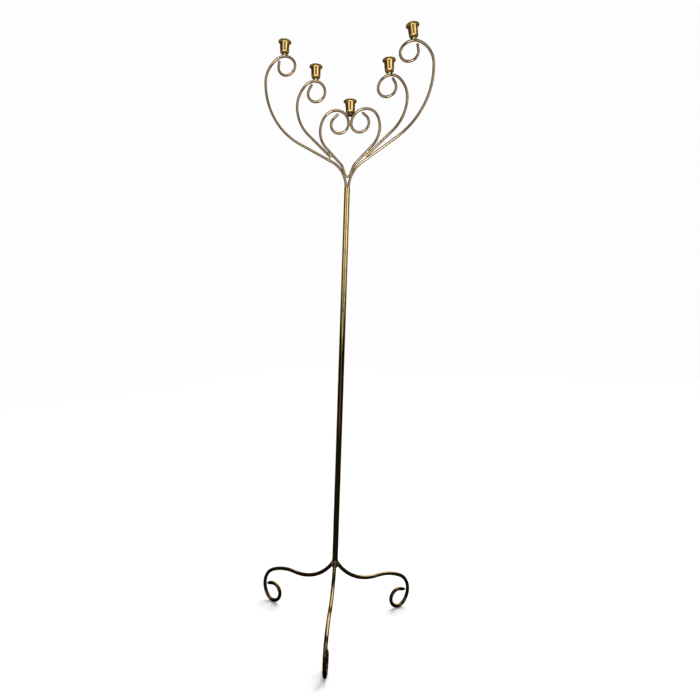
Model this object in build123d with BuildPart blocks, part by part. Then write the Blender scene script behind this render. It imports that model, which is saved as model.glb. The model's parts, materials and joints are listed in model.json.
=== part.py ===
from build123d import *
from collections import namedtuple
from math import copysign, cos, radians, sin, sqrt
import os

# Floor candelabra of bent brass-finished rod: a tripod of three scrolled legs, one straight tube,
# and a flat tree of six bent rods that carries five candle cups. Millimetres, +Z up, origin on the
# floor under the middle of the tube. The tree lies in the XZ plane.

# Tube, and the joint under the head
tube_diameter = 15.4
tube_wall = 1.2
tube_length = 1007.8
tube_edge_chamfer = 0.4
ferrule_length = 16.0
spigot_length = 60.0
spigot_clearance = 0.06
spigot_chamfer = 1.0
ferrule_bore_clearance = 0.05

# Legs: from the tube down and out to a scroll that the object stands on
leg_diameter = 10.0
leg_tip_diameter = 2.6
leg_azimuth = {"front": 279.9, "right": 41.1, "left": 161.2}
leg_heading = -55.5
leg_hip_radius = 139.0
leg_hip_angle = 60.8
leg_shin_radius = 150.7
leg_shin_angle = -31.4
leg_knee_radius = 51.4
leg_knee_angle = -108.4
leg_scroll_radius = 24.9
leg_scroll_angle = -241.3
leg_end_run = 9.4
leg_point = 9.5
leg_weld_diameter = 14.0
tube_end_below_legs = 0.5

# Rods of the head
rod_diameter = 7.0
rod_tip_chamfer = 0.8
braze_gap = 0.6

# Outer arms: out of the throat, a long sweep up, and a scroll that curls inwards
outer_heading = 90.0
outer_throat_radius = 80.0
outer_throat_angle = -58.2
outer_set = 2.25
outer_run = 105.5
outer_sweep_radius = 207.5
outer_sweep_angle = 59.05
outer_sweep_set = 0.45
outer_shoulder_radius = 70.5
outer_shoulder_angle = 58.2
outer_crown_radius = 35.8
outer_crown_angle = 84.4
outer_scroll_radius = 23.8
outer_scroll_angle = 225.2
outer_end_run = 14.8
tie_diameter = 6.0
tie_height = 29.0

# Heart arms: up along the outer arms, then a lobe and its scroll
heart_foot_x = 5.7
heart_foot_height = 30.0
heart_heading = 70.0
heart_first_run = 25.5
heart_foot_radius = 25.0
heart_foot_angle = -23.7
heart_set = 0.8
heart_side_radius = 67.2
heart_side_angle = 73.4
heart_lobe_radius = 36.8
heart_lobe_angle = 152.7
heart_scroll_radius = 23.9
heart_scroll_angle = 226.5
heart_end_run = 14.5

# Middle arms: from beside the heart arms up to a scroll like the outer one
middle_along_heart = 34.3
middle_splay = 2.8
middle_run = 90.3
middle_sweep_radius = 113.7
middle_sweep_angle = 44.4
middle_shoulder_radius = 74.7
middle_shoulder_angle = 48.3
middle_crown_radius = 32.3
middle_crown_angle = 131.5
middle_scroll_radius = 23.8
middle_scroll_angle = 213.4
middle_end_run = 13.5
middle_stub_diameter = 5.0

# Candle cups
candle_bore_diameter = 22.6
cup_wall = 0.9
cup_draft = 1.0
cup_flare = 4.5
cup_flare_height = 8.0
cup_height = 32.5
cup_floor = 7.5
cup_mouth_depth = 5.0
cup_lip = 1.4
cup_foot_diameter = 16.0
cup_seat_gap = 3.0
cup_seat = {"outer_right": -0.7, "outer_left": 2.2, "middle_right": 5.5, "middle_left": 8.0}
cup_lean = {"outer_right": 7.9, "outer_left": 0.0, "middle_right": 3.6, "middle_left": -1.3}
centre_cup_gap = 1.1
centre_cup_aside = 0.3
centre_cup_lean = 2.7

# Brazing
cup_braze_diameter = 11.0
cup_braze_depth = 6.5
centre_braze_diameter = 16.4
centre_braze_depth = 6.5
braze_bulge = 0.8

# Derived sizes
rod_radius = rod_diameter / 2
rod_pitch = rod_diameter + braze_gap
braze_radius = rod_pitch / 2 + braze_bulge
tube_radius = tube_diameter / 2
tube_bore_radius = tube_radius - tube_wall
spigot_radius = tube_bore_radius - spigot_clearance

# The right arms run along +X, the left ones along -X. Bent and set by hand, the outer pair leans
# a little to the left and the heart a little to the right.
azimuth = {"right": 0.0, "left": 180.0}
hand = {"right": 1.0, "left": -1.0}

# A rod is bent cold from straight stock, so its course is a list of straight runs and bends.
# A positive bend turns to the left of the direction of travel.
Run = namedtuple("Run", "length")
Bend = namedtuple("Bend", "radius angle")


def travel(point, heading, length):
    """Point reached by going straight on."""
    return (point[0] + length * cos(radians(heading)), point[1] + length * sin(radians(heading)))


def bend_centre(point, heading, bend):
    """Centre of a bend that starts at a point with a heading."""
    return travel(point, heading + copysign(90.0, bend.angle), bend.radius)


def on_bend(centre, bend, heading):
    """Point of a bend at which the rod has a given heading."""
    return travel(centre, heading - copysign(90.0, bend.angle), bend.radius)


def stations(course, start, heading):
    """Point and heading at the start of each step of a course, and at its end."""
    found = [(start, heading)]
    point = start
    for step in course:
        if isinstance(step, Run):
            point = travel(point, heading, step.length)
        else:
            centre = bend_centre(point, heading, step)
            heading = heading + step.angle
            point = on_bend(centre, step, heading)
        found.append((point, heading))
    return found


def bend_through(course, start, heading, wanted):
    """Centre of the first bend that passes a wanted heading, and the bend itself."""
    for step, (point, begin) in zip(course, stations(course, start, heading)):
        if isinstance(step, Bend):
            low, high = sorted((begin, begin + step.angle))
            if low <= wanted <= high:
                return bend_centre(point, begin, step), step
    raise ValueError("no bend of this rod has that heading")


def beside_run(point, run_start, run_heading):
    """Foot of the square from a point to a straight run."""
    ahead = (point[0] - run_start[0]) * cos(radians(run_heading))
    above = (point[1] - run_start[1]) * sin(radians(run_heading))
    return travel(run_start, run_heading, ahead + above)


def between(first, second):
    """Middle of two points."""
    return ((first[0] + second[0]) / 2, (first[1] + second[1]) / 2)


def leg_course(lead):
    """Steps of a leg, from a straight lead inside the tube to where its point begins."""
    return [
        Run(lead),
        Bend(leg_hip_radius, leg_hip_angle),
        Bend(leg_shin_radius, leg_shin_angle),
        Bend(leg_knee_radius, leg_knee_angle),
        Bend(leg_scroll_radius, leg_scroll_angle),
        Run(leg_end_run),
    ]


def outer_course(side):
    """Steps of an outer arm."""
    return [
        Bend(outer_throat_radius, outer_throat_angle + outer_set * hand[side]),
        Run(outer_run),
        Bend(outer_sweep_radius, outer_sweep_angle + outer_sweep_set * hand[side]),
        Bend(outer_shoulder_radius, outer_shoulder_angle),
        Bend(outer_crown_radius, outer_crown_angle),
        Bend(outer_scroll_radius, outer_scroll_angle),
        Run(outer_end_run),
    ]


def heart_course(set_angle, second_run):
    """Steps of a heart arm."""
    return [
        Run(heart_first_run),
        Bend(heart_foot_radius, heart_foot_angle - set_angle),
        Run(second_run),
        Bend(heart_side_radius, heart_side_angle),
        Bend(heart_lobe_radius, heart_lobe_angle),
        Bend(heart_scroll_radius, heart_scroll_angle),
        Run(heart_end_run),
    ]


def middle_course(side):
    """Steps of a middle arm, whose first bend takes back the heart's hand setting."""
    return [
        Run(middle_run),
        Bend(middle_sweep_radius, middle_sweep_angle + heart_set * hand[side]),
        Bend(middle_shoulder_radius, middle_shoulder_angle),
        Bend(middle_crown_radius, middle_crown_angle),
        Bend(middle_scroll_radius, middle_scroll_angle),
        Run(middle_end_run),
    ]


def upright(angle):
    """Vertical plane through the Z axis: local x runs outwards, local y upwards."""
    return Plane(
        origin=(0, 0, 0),
        x_dir=(cos(radians(angle)), sin(radians(angle)), 0),
        z_dir=(sin(radians(angle)), -cos(radians(angle)), 0),
    )


def direction(plane, heading):
    """Direction in space of a heading in an upright plane."""
    return plane.x_dir * cos(radians(heading)) + plane.y_dir * sin(radians(heading))


def leaning(plane, point, lean):
    """An upright plane's copy at a local point, turned to the left by the lean."""
    return Plane(plane.from_local_coords(point), x_dir=direction(plane, lean), z_dir=plane.z_dir)


def cross_section(plane, point, heading):
    """Plane square to a rod at a local point."""
    return Plane(
        plane.from_local_coords(point), x_dir=plane.z_dir, z_dir=direction(plane, heading)
    )


def lay_course(course, start, heading):
    """Draw the centreline of a bent rod in the active line builder."""
    for step, (point, begin) in zip(course, stations(course, start, heading)):
        if isinstance(step, Run):
            Line(point, travel(point, begin, step.length))
        else:
            JernArc(point, travel((0, 0), begin, 1.0), step.radius, step.angle)


def bent_rod(plane, course, start, heading):
    """A rod of the head along a course in an upright plane, with its tip eased."""
    tip = plane.from_local_coords(stations(course, start, heading)[-1][0])
    with BuildPart() as rod:
        with BuildLine(plane) as centreline:
            lay_course(course, start, heading)
        with BuildSketch(cross_section(plane, start, heading)):
            Circle(rod_radius)
        sweep(path=centreline.wire())
        tip_face = rod.faces().filter_by(GeomType.PLANE).sort_by_distance(tip)[0]
        chamfer(tip_face.edges(), rod_tip_chamfer)
    return rod


def finish(piece, name):
    """Label a piece and write it."""
    piece.part.label = name
    export_step(piece.part, f"parts/{name}.step")


os.makedirs("parts", exist_ok=True)

# Heights: the scrolls of the legs stand on the floor, and everything above follows from them
leg_slope = cos(radians(leg_heading))
foot_centre, foot_bend = bend_through(leg_course(0.0), (tube_radius, 0.0), leg_heading, -180.0)
leg_root = leg_diameter / 2 + foot_bend.radius - foot_centre[1]
tube_bottom = leg_root - leg_diameter / 2 / leg_slope - tube_end_below_legs
tube_top = tube_bottom + tube_length
head_base = tube_top + ferrule_length

with BuildPart() as shaft_tube:
    with BuildSketch(Plane.XY.offset(tube_bottom)):
        Circle(tube_radius)
        Circle(tube_bore_radius, mode=Mode.SUBTRACT)
    extrude(amount=tube_length)
    top_rims = shaft_tube.edges().filter_by(GeomType.CIRCLE).group_by(Axis.Z)[-1]
    chamfer(top_rims.sort_by(SortBy.RADIUS)[-1], tube_edge_chamfer)
finish(shaft_tube, "shaft_tube")

# Legs: the root of each is cut to the round of the tube, and its straight end is forged to a point
leg_lead = tube_radius / leg_slope
leg_start = travel((tube_radius, leg_root), leg_heading, -leg_lead)
leg_steps = leg_course(leg_lead)
end_start, end_heading = stations(leg_steps, leg_start, leg_heading)[-1]
point_end = travel(end_start, end_heading, leg_point)
for name, angle in leg_azimuth.items():
    leg_plane = upright(angle)
    with BuildPart() as leg:
        with BuildLine(leg_plane) as centreline:
            lay_course(leg_steps, leg_start, leg_heading)
        with BuildSketch(cross_section(leg_plane, leg_start, leg_heading)):
            Circle(leg_diameter / 2)
        sweep(path=centreline.wire())
        with BuildSketch(cross_section(leg_plane, end_start, end_heading)):
            Circle(leg_diameter / 2)
        with BuildSketch(cross_section(leg_plane, point_end, end_heading)):
            Circle(leg_tip_diameter / 2)
        loft()
        with Locations((0, 0, tube_bottom + tube_length / 2)):
            Cylinder(tube_radius, tube_length, mode=Mode.SUBTRACT)
    finish(leg, f"leg_{name}")

    with BuildPart() as leg_weld:
        with Locations(leg_plane.from_local_coords((tube_radius, leg_root))):
            Sphere(leg_weld_diameter / 2)
        with Locations((0, 0, tube_bottom + tube_length / 2)):
            Cylinder(tube_radius, tube_length, mode=Mode.SUBTRACT)
        add(leg.part, mode=Mode.SUBTRACT)
    finish(leg_weld, f"leg_weld_{name}")

# Ferrule and spigot: the head lifts off the tube, and turns on the spigot inside it
with BuildPart() as head_spigot:
    with BuildSketch(Plane.XY.offset(tube_top - spigot_length)):
        Circle(spigot_radius)
    extrude(amount=spigot_length + ferrule_length)
    chamfer(head_spigot.edges().group_by(Axis.Z)[0], spigot_chamfer)
finish(head_spigot, "head_spigot")

with BuildPart() as head_ferrule:
    with BuildSketch(Plane.XY.offset(tube_top)):
        Circle(tube_radius)
        Circle(spigot_radius + ferrule_bore_clearance, mode=Mode.SUBTRACT)
    extrude(amount=ferrule_length)
    lower_rims = head_ferrule.edges().filter_by(GeomType.CIRCLE).group_by(Axis.Z)[0]
    chamfer(lower_rims.sort_by(SortBy.RADIUS)[-1], tube_edge_chamfer)
finish(head_ferrule, "head_ferrule")

# Outer arms stand side by side on the ferrule, held by a bead of braze
outer_start = (rod_pitch / 2, head_base)
outer_arm = {}
for side in azimuth:
    outer_arm[side] = bent_rod(
        upright(azimuth[side]), outer_course(side), outer_start, outer_heading
    )
    finish(outer_arm[side], f"outer_arm_{side}")

with BuildPart() as throat_braze:
    with Locations((0, 0, head_base)):
        Sphere(braze_radius)
    split(bisect_by=Plane.XY.offset(head_base), keep=Keep.TOP)
    for side in azimuth:
        add(outer_arm[side].part, mode=Mode.SUBTRACT)
finish(throat_braze, "throat_braze")

# Throat tie: a short bar between the outer arms
tie_reach = rod_pitch / 2 + outer_throat_radius - sqrt(outer_throat_radius**2 - tie_height**2)
with BuildPart() as throat_tie:
    with BuildSketch(Plane.YZ.offset(-tie_reach)):
        with Locations((0, head_base + tie_height)):
            Circle(tie_diameter / 2)
    extrude(amount=2 * tie_reach)
    for side in azimuth:
        add(outer_arm[side].part, mode=Mode.SUBTRACT)
finish(throat_tie, "throat_tie")

# Heart arms: the second run is as long as brings the two lobes side by side in the middle
heart_start = (heart_foot_x, head_base + heart_foot_height)
short_course = heart_course(0.0, 0.0)
short_centre, lobe_bend = bend_through(short_course, heart_start, heart_heading, 270.0)
short_heading = stations(short_course, heart_start, heart_heading)[2][1]
short_reach = short_centre[0] - lobe_bend.radius
heart_second_run = (rod_pitch / 2 - short_reach) / cos(radians(short_heading))

heart_arm = {}
heart_run = {}
lobe_centre = {}
lobe_side = {}
for side in azimuth:
    course = heart_course(heart_set * hand[side], heart_second_run)
    heart_run[side] = stations(course, heart_start, heart_heading)[2]
    whole_arm = bent_rod(upright(azimuth[side]), course, heart_start, heart_heading)
    with BuildPart() as coped_arm:
        add(whole_arm.part)
        add(outer_arm[side].part, mode=Mode.SUBTRACT)
        add(throat_tie.part, mode=Mode.SUBTRACT)
    heart_arm[side] = coped_arm
    finish(heart_arm[side], f"heart_arm_{side}")
    lobe_centre[side], bend = bend_through(course, heart_start, heart_heading, 270.0)
    lobe_side[side] = on_bend(lobe_centre[side], bend, 270.0)

lobes_meet = between(lobe_side["right"], (-lobe_side["left"][0], lobe_side["left"][1]))
with BuildPart() as heart_braze:
    with Locations((lobes_meet[0], 0, lobes_meet[1])):
        Sphere(braze_radius)
    for side in azimuth:
        add(heart_arm[side].part, mode=Mode.SUBTRACT)
finish(heart_braze, "heart_braze")

# Middle arms lie along the heart arms and end above the outer arms, on a stub of braze
middle_arm = {}
middle_start = {}
middle_heading = {}
for side in azimuth:
    arm_plane = upright(azimuth[side])
    run_start, run_heading = heart_run[side]
    on_heart = travel(run_start, run_heading, middle_along_heart)
    middle_start[side] = travel(on_heart, run_heading - 90.0, rod_pitch)
    middle_heading[side] = run_heading - middle_splay
    middle_arm[side] = bent_rod(
        arm_plane, middle_course(side), middle_start[side], middle_heading[side]
    )
    finish(middle_arm[side], f"middle_arm_{side}")

    run_start, run_heading = stations(outer_course(side), outer_start, outer_heading)[1]
    on_outer = beside_run(middle_start[side], run_start, run_heading)
    stub_plane = cross_section(arm_plane, on_outer, run_heading + 90.0)
    stub_length = abs(stub_plane.to_local_coords(arm_plane.from_local_coords(middle_start[side])).Z)
    with BuildPart() as middle_braze:
        with BuildSketch(stub_plane):
            Circle(middle_stub_diameter / 2)
        extrude(amount=stub_length)
        with Locations(arm_plane.from_local_coords(between(on_heart, middle_start[side]))):
            Sphere(braze_radius)
        for rod in (outer_arm[side], heart_arm[side], middle_arm[side]):
            add(rod.part, mode=Mode.SUBTRACT)
    finish(middle_braze, f"middle_braze_{side}")


def candle_cup(plane):
    """A spun cup on a plane whose origin is the middle of its foot and whose y is its axis."""
    bore_radius = candle_bore_diameter / 2
    waist_radius = bore_radius + cup_wall
    shoulder_radius = waist_radius + cup_draft
    rim_radius = shoulder_radius + cup_flare
    foot = (cup_foot_diameter / 2, 0)
    waist = (waist_radius, cup_floor)
    shoulder = (shoulder_radius, cup_height - cup_flare_height)
    lip_under = (rim_radius, cup_height - cup_lip)
    lip_top = (rim_radius, cup_height)
    bore_floor = (bore_radius, cup_floor)
    mouth = (bore_radius, cup_height - cup_mouth_depth)
    with BuildPart() as cup:
        with BuildSketch(plane):
            with BuildLine():
                Line((0, 0), foot)
                RadiusArc(foot, waist, -cup_floor)
                wall = Line(waist, shoulder)
                TangentArc(shoulder, lip_under, tangent=wall % 1)
                Line(lip_under, lip_top)
                bore = Line(bore_floor, mouth)
                TangentArc(mouth, lip_top, tangent=bore % 1)
                Polyline(bore_floor, (0, cup_floor), (0, 0))
            make_face()
        revolve(axis=Axis(plane.origin, plane.y_dir))
    return cup


def cup_braze(plane, diameter, depth, rods):
    """A bead of braze under a cup's foot, cut to the rods that it holds."""
    side_top = (diameter / 2, 0)
    side_bottom = (diameter / 2, -depth / 2)
    with BuildPart() as braze:
        with BuildSketch(plane):
            with BuildLine():
                Polyline((0, -depth), (0, 0), side_top, side_bottom)
                RadiusArc(side_bottom, (0, -depth), diameter / 2)
            make_face()
        revolve(axis=Axis(plane.origin, plane.y_dir))
        for rod in rods:
            add(rod.part, mode=Mode.SUBTRACT)
    return braze


def stand_cup(name, arm, side, course, start, heading):
    """A cup that stands on top of an arm's scroll with a lean of its own, and its braze."""
    rod_heading = 180.0 + cup_seat[name]
    centre, bend = bend_through(course, start, heading, rod_heading)
    on_rod = on_bend(centre, bend, rod_heading)
    seat = travel(on_rod, rod_heading - 90.0, rod_radius + cup_seat_gap)
    seat_plane = leaning(upright(azimuth[side]), seat, cup_lean[name])
    finish(candle_cup(seat_plane), f"candle_cup_{name}")
    finish(cup_braze(seat_plane, cup_braze_diameter, cup_braze_depth, [arm]), f"cup_braze_{name}")


for side in azimuth:
    stand_cup(
        f"outer_{side}", outer_arm[side], side, outer_course(side), outer_start, outer_heading
    )
    stand_cup(
        f"middle_{side}",
        middle_arm[side],
        side,
        middle_course(side),
        middle_start[side],
        middle_heading[side],
    )

# The centre cup stands in the valley between the two lobes of the heart, clear of both
lobe_reach = lobe_bend.radius + rod_radius + centre_cup_gap
centre_cup_x = lobes_meet[0] + centre_cup_aside
valley_heights = []
for side in azimuth:
    aside = lobe_centre[side][0] - hand[side] * centre_cup_x - cup_foot_diameter / 2
    valley_heights.append(lobe_centre[side][1] + sqrt(lobe_reach**2 - aside**2))
centre_seat = (centre_cup_x, max(valley_heights))
centre_plane = leaning(upright(azimuth["right"]), centre_seat, centre_cup_lean)
centre_braze = cup_braze(
    centre_plane, centre_braze_diameter, centre_braze_depth, heart_arm.values()
)
finish(candle_cup(centre_plane), "candle_cup_centre")
finish(centre_braze, "cup_braze_centre")
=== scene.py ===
# %% [markdown]
# # A floor candelabra of bent brass rod
# The object is a tall stand for candles: three scrolled legs, one straight tube, and a flat tree of six
# bent rods with five cups. The frame holds its measured solids, which fix every size and every joint.
# This lesson keeps the solids where they are and makes what is seen, one craft at a time: first the brass
# itself, then bent rod, turned tube, spun cups and beads of braze, and last the light.

# %% Load the frame
import itertools
import json
import math
from collections import namedtuple

import bpy
import bmesh
from mathutils import Matrix, Vector

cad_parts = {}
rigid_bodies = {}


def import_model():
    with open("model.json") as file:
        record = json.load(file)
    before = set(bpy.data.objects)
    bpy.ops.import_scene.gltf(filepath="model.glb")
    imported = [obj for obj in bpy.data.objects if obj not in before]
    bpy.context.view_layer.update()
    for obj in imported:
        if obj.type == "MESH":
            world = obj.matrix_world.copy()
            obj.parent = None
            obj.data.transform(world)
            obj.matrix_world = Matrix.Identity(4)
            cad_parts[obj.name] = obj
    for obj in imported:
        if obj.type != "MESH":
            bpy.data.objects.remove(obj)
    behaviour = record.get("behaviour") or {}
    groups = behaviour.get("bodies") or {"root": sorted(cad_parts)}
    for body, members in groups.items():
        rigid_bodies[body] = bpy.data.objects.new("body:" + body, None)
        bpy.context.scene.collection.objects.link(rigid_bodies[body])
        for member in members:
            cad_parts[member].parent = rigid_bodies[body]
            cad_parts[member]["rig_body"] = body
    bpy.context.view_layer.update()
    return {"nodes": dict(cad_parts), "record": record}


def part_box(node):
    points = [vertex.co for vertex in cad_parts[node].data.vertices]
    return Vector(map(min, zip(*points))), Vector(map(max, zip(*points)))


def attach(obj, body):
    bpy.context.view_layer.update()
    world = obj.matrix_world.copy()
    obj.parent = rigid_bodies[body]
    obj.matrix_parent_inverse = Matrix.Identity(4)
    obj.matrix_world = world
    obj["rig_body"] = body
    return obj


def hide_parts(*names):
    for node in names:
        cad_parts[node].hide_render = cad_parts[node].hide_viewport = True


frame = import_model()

MM = 0.001

# %% [markdown]
# ## The camera
# The picture was taken from about waist height, close to the stand, with a wide lens, so the cups are seen
# from below and the feet from above. A camera could be aimed with a Track To constraint, but a real one was
# held by hand and leans a little. So its three directions are worked out and written into its matrix.

# %% Stand the camera
camera_distance = 1.361
camera_height = 0.783
camera_side = math.radians(13.62)
camera_pan = math.radians(0.92)
camera_tilt = math.radians(-1.385)
camera_lean = math.radians(1.89)
sensor_width = 36.0
lens_length = 26.02

camera_data = bpy.data.cameras.new("camera")
camera_data.sensor_width = sensor_width
camera_data.lens = lens_length
camera = bpy.data.objects.new("camera", camera_data)
bpy.context.scene.collection.objects.link(camera)
bpy.context.scene.camera = camera

aim = camera_pan - camera_side
ahead = Vector((
    math.sin(aim) * math.cos(camera_tilt),
    math.cos(aim) * math.cos(camera_tilt),
    math.sin(camera_tilt),
))
level_right = Vector((math.cos(aim), -math.sin(aim), 0.0))
level_up = level_right.cross(ahead)
right = level_right * math.cos(camera_lean) + level_up * math.sin(camera_lean)
up = level_up * math.cos(camera_lean) - level_right * math.sin(camera_lean)
place = Vector((math.sin(camera_side), -math.cos(camera_side), 0.0)) * camera_distance
place.z = camera_height
camera.matrix_world = Matrix((right, up, -ahead)).transposed().to_4x4()
camera.location = place
print("camera at", [round(x, 3) for x in place])

# %% [markdown]
# ## Finishes: small helpers
# Every finish here is a node tree. Building one by hand in the editor is fine for a single material. In a
# script, short helpers keep it readable: `put` makes a node and fills its sockets, and the others are the
# mixes, ranges, sums and noises that the finishes share.

# %% Helpers for node trees
def put(tree, kind, inputs=(), **settings):
    """A node of a kind, with its settings, and its sockets filled with values or links."""
    made = tree.nodes.new(kind)
    for name, value in settings.items():
        setattr(made, name, value)
    for socket, value in dict(inputs).items():
        if isinstance(value, bpy.types.NodeSocket):
            tree.links.new(value, made.inputs[socket])
        else:
            made.inputs[socket].default_value = value
    return made


MIX_FACTOR, MIX_FIRST, MIX_SECOND, MIX_RESULT = 0, 6, 7, 2


def mixed(tree, amount, first, second):
    """A colour between two colours."""
    inputs = {MIX_FACTOR: amount, MIX_FIRST: first, MIX_SECOND: second}
    return put(tree, "ShaderNodeMix", inputs, data_type="RGBA").outputs[MIX_RESULT]


def spread(tree, value, low, high, to_low=0.0, to_high=1.0):
    """A value's range stretched to another range, with soft ends."""
    inputs = {"Value": value, "From Min": low, "From Max": high, "To Min": to_low, "To Max": to_high}
    return put(tree, "ShaderNodeMapRange", inputs, interpolation_type="SMOOTHSTEP").outputs["Result"]


def math_node(tree, operation, first, second=0.0, clamp=False):
    """Result of one sum on two values."""
    inputs = {0: first, 1: second}
    return put(tree, "ShaderNodeMath", inputs, operation=operation, use_clamp=clamp).outputs[0]


def times(tree, first, second):
    """Product of two values."""
    return math_node(tree, "MULTIPLY", first, second)


GRAIN_ROUGHNESS = 0.6


def grain(tree, where, scale, detail=2.0):
    """Noise of a scale, in marks per metre."""
    inputs = {"Vector": where, "Scale": scale, "Detail": detail, "Roughness": GRAIN_ROUGHNESS}
    return put(tree, "ShaderNodeTexNoise", inputs).outputs["Fac"]


def stretched(tree, where, scale):
    """Coordinates scaled along each axis."""
    return put(tree, "ShaderNodeVectorMath", {0: where, 1: scale}, operation="MULTIPLY").outputs[0]


def new_finish(name):
    """An empty finish and its shader."""
    finish = bpy.data.materials.new(name)
    finish.use_nodes = True
    return finish, finish.node_tree, finish.node_tree.nodes["Principled BSDF"]


print("helpers ready")

# %% [markdown]
# ## Brass that has aged
# The rods were drawn through a die and then bent, polished and left to age. Two things show it: fine lines
# along the rod and clouds of brown tarnish. Shade is painted on as well: faces that point down are mixed
# towards the dark colour. The lines have to follow the bends, so they read an attribute called `straight`,
# which holds each point's place on the rod before it was bent. The clouds read Object coordinates, and the
# painted underside shade reads the surface normal.

# %% Brass for the rods
EDGE_TINT = (0.02, 0.01, 0.0, 1.0)
LINE_RANGE = (0.35, 0.70)
TARNISH_RANGE = (0.50, 0.72)
SPECK_RANGE = (0.60, 0.72)
PAINTED_SHADE_UNDERSIDE_RANGE = (-0.05, -0.75)
POLISH_RANGE = (0.35, 0.75)
CLOUD_DETAIL = 5.0
specks_per_cloud = 9.0
line_depth = 0.05 * MM
Brass = namedtuple("Brass", "finish tree shader colour where clouds normal")


def aged_brass(name, pattern, bright, dull, dark, cloud, line, rough, worn=0.55, relief=0.12, painted_shade_amount=0.75):
    """Brass whose lines follow an attribute. Its colour is left open, so that more can be mixed in."""
    finish, tree, shader = new_finish(name)
    coordinates = put(tree, "ShaderNodeTexCoord")
    where = coordinates.outputs["Object"]
    drawn = put(tree, "ShaderNodeAttribute", attribute_name=pattern).outputs["Vector"]
    lines = grain(tree, stretched(tree, drawn, line), 1.0)
    clouds = grain(tree, where, cloud, CLOUD_DETAIL)
    specks = grain(tree, where, cloud * specks_per_cloud)
    colour = mixed(tree, spread(tree, lines, *LINE_RANGE), bright, dull)
    colour = mixed(tree, times(tree, spread(tree, clouds, *TARNISH_RANGE), worn), colour, dark)
    colour = mixed(tree, times(tree, spread(tree, specks, *SPECK_RANGE), worn / 2), colour, dark)
    normal = put(tree, "ShaderNodeSeparateXYZ", {0: coordinates.outputs["Normal"]}).outputs
    # Painted shade: faces that point down are mixed towards the dark colour, as far as the shade amount
    # says.
    painted_underside_shade = spread(tree, normal["Z"], *PAINTED_SHADE_UNDERSIDE_RANGE)
    colour = mixed(tree, times(tree, painted_underside_shade, painted_shade_amount), colour, dark)
    tree.links.new(spread(tree, clouds, *POLISH_RANGE, *rough), shader.inputs["Roughness"])
    height = math_node(tree, "ADD", lines, specks)
    bump = put(tree, "ShaderNodeBump", {"Height": height, "Strength": relief, "Distance": line_depth})
    tree.links.new(bump.outputs["Normal"], shader.inputs["Normal"])
    shader.inputs["Metallic"].default_value = 1.0
    shader.inputs["Specular Tint"].default_value = EDGE_TINT
    return Brass(finish, tree, shader, colour, where, clouds, normal)


def coloured(brass, colour):
    """The finish of a brass, once its colour is settled."""
    brass.tree.links.new(colour, brass.shader.inputs["Base Color"])
    print("made", brass.finish.name)
    return brass.finish


ROD_LINES = (1400.0, 1400.0, 45.0)
rod_metal = aged_brass(
    "rod_brass", "straight",
    bright=(0.30, 0.223, 0.132, 1.0), dull=(0.23, 0.167, 0.093, 1.0), dark=(0.045, 0.029, 0.012, 1.0),
    cloud=16.0, line=ROD_LINES, rough=(0.10, 0.17), worn=0.4, relief=0.02,
)
rod_brass = coloured(rod_metal, rod_metal.colour)

# %% [markdown]
# The stand is the same brass with light and shade painted over it: the tube is painted from gold at the top
# to nearly black below its middle, and the legs are painted near black except where they face upwards, where
# a painted highlight lets their gold show. Both are one mix on top of the brass above, by height for the
# tube and by the normal for the legs.

# %% Painted shade and highlight on the tube and the legs
tube_gold_above = 1.08
tube_dark_below = 0.73
tube_unevenness = 0.10
# Near black for the painted shade on the lower tube and on the legs.
PAINTED_SHADE_BLACK = (0.0075, 0.0048, 0.0012, 1.0)
PAINTED_TOP_HIGHLIGHT_RANGE = (0.22, 0.90)

tube_metal = aged_brass(
    "tube_brass", "straight",
    bright=(0.56, 0.412, 0.160, 1.0), dull=(0.43, 0.305, 0.110, 1.0), dark=(0.110, 0.069, 0.018, 1.0),
    cloud=60.0, line=ROD_LINES, rough=(0.09, 0.17),
)
tree = tube_metal.tree
height = put(tree, "ShaderNodeSeparateXYZ", {0: tube_metal.where}).outputs["Z"]
uneven = times(tree, math_node(tree, "SUBTRACT", tube_metal.clouds, 0.5), tube_unevenness)
# Painted shade: below its middle the tube is mixed towards near black, by height.
painted_shade_by_height = spread(tree, math_node(tree, "ADD", height, uneven), tube_gold_above, tube_dark_below)
tube_brass = coloured(tube_metal, mixed(tree, painted_shade_by_height, tube_metal.colour, PAINTED_SHADE_BLACK))

leg_metal = aged_brass(
    "leg_brass", "straight",
    bright=(0.25, 0.170, 0.080, 1.0), dull=(0.165, 0.108, 0.046, 1.0), dark=(0.035, 0.021, 0.006, 1.0),
    cloud=60.0, line=ROD_LINES, rough=(0.12, 0.26), relief=1.0,
)
# Painted light and shade: the legs are near black, and show their brass only where they face upwards, as a
# painted highlight.
painted_top_highlight = spread(leg_metal.tree, leg_metal.normal["Z"], *PAINTED_TOP_HIGHLIGHT_RANGE)
leg_brass = coloured(leg_metal, mixed(leg_metal.tree, painted_top_highlight, PAINTED_SHADE_BLACK, leg_metal.colour))

# %% [markdown]
# The cups were spun from sheet on a lathe and are yellower than the rods. Their lines run round the cup,
# so they read an attribute called `turned`, the place on the cup while it was still on the lathe.
# Stretching the noise across the axis draws rings. Coarse clouds give the blotches of worn lacquer.

# %% Brass for the cups
CUP_RINGS = (60.0, 60.0, 2600.0)
# Painted shade: the cups' downward faces, under the rim and at the heel, are mixed darker by the shade
# amount below.
cup_metal = aged_brass(
    "cup_brass", "turned",
    bright=(0.54, 0.360, 0.135, 1.0), dull=(0.46, 0.302, 0.105, 1.0), dark=(0.075, 0.045, 0.010, 1.0),
    cloud=70.0, line=CUP_RINGS, rough=(0.17, 0.25), worn=0.3, relief=0.03, painted_shade_amount=0.82,
)
cup_brass = coloured(cup_metal, cup_metal.colour)

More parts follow.
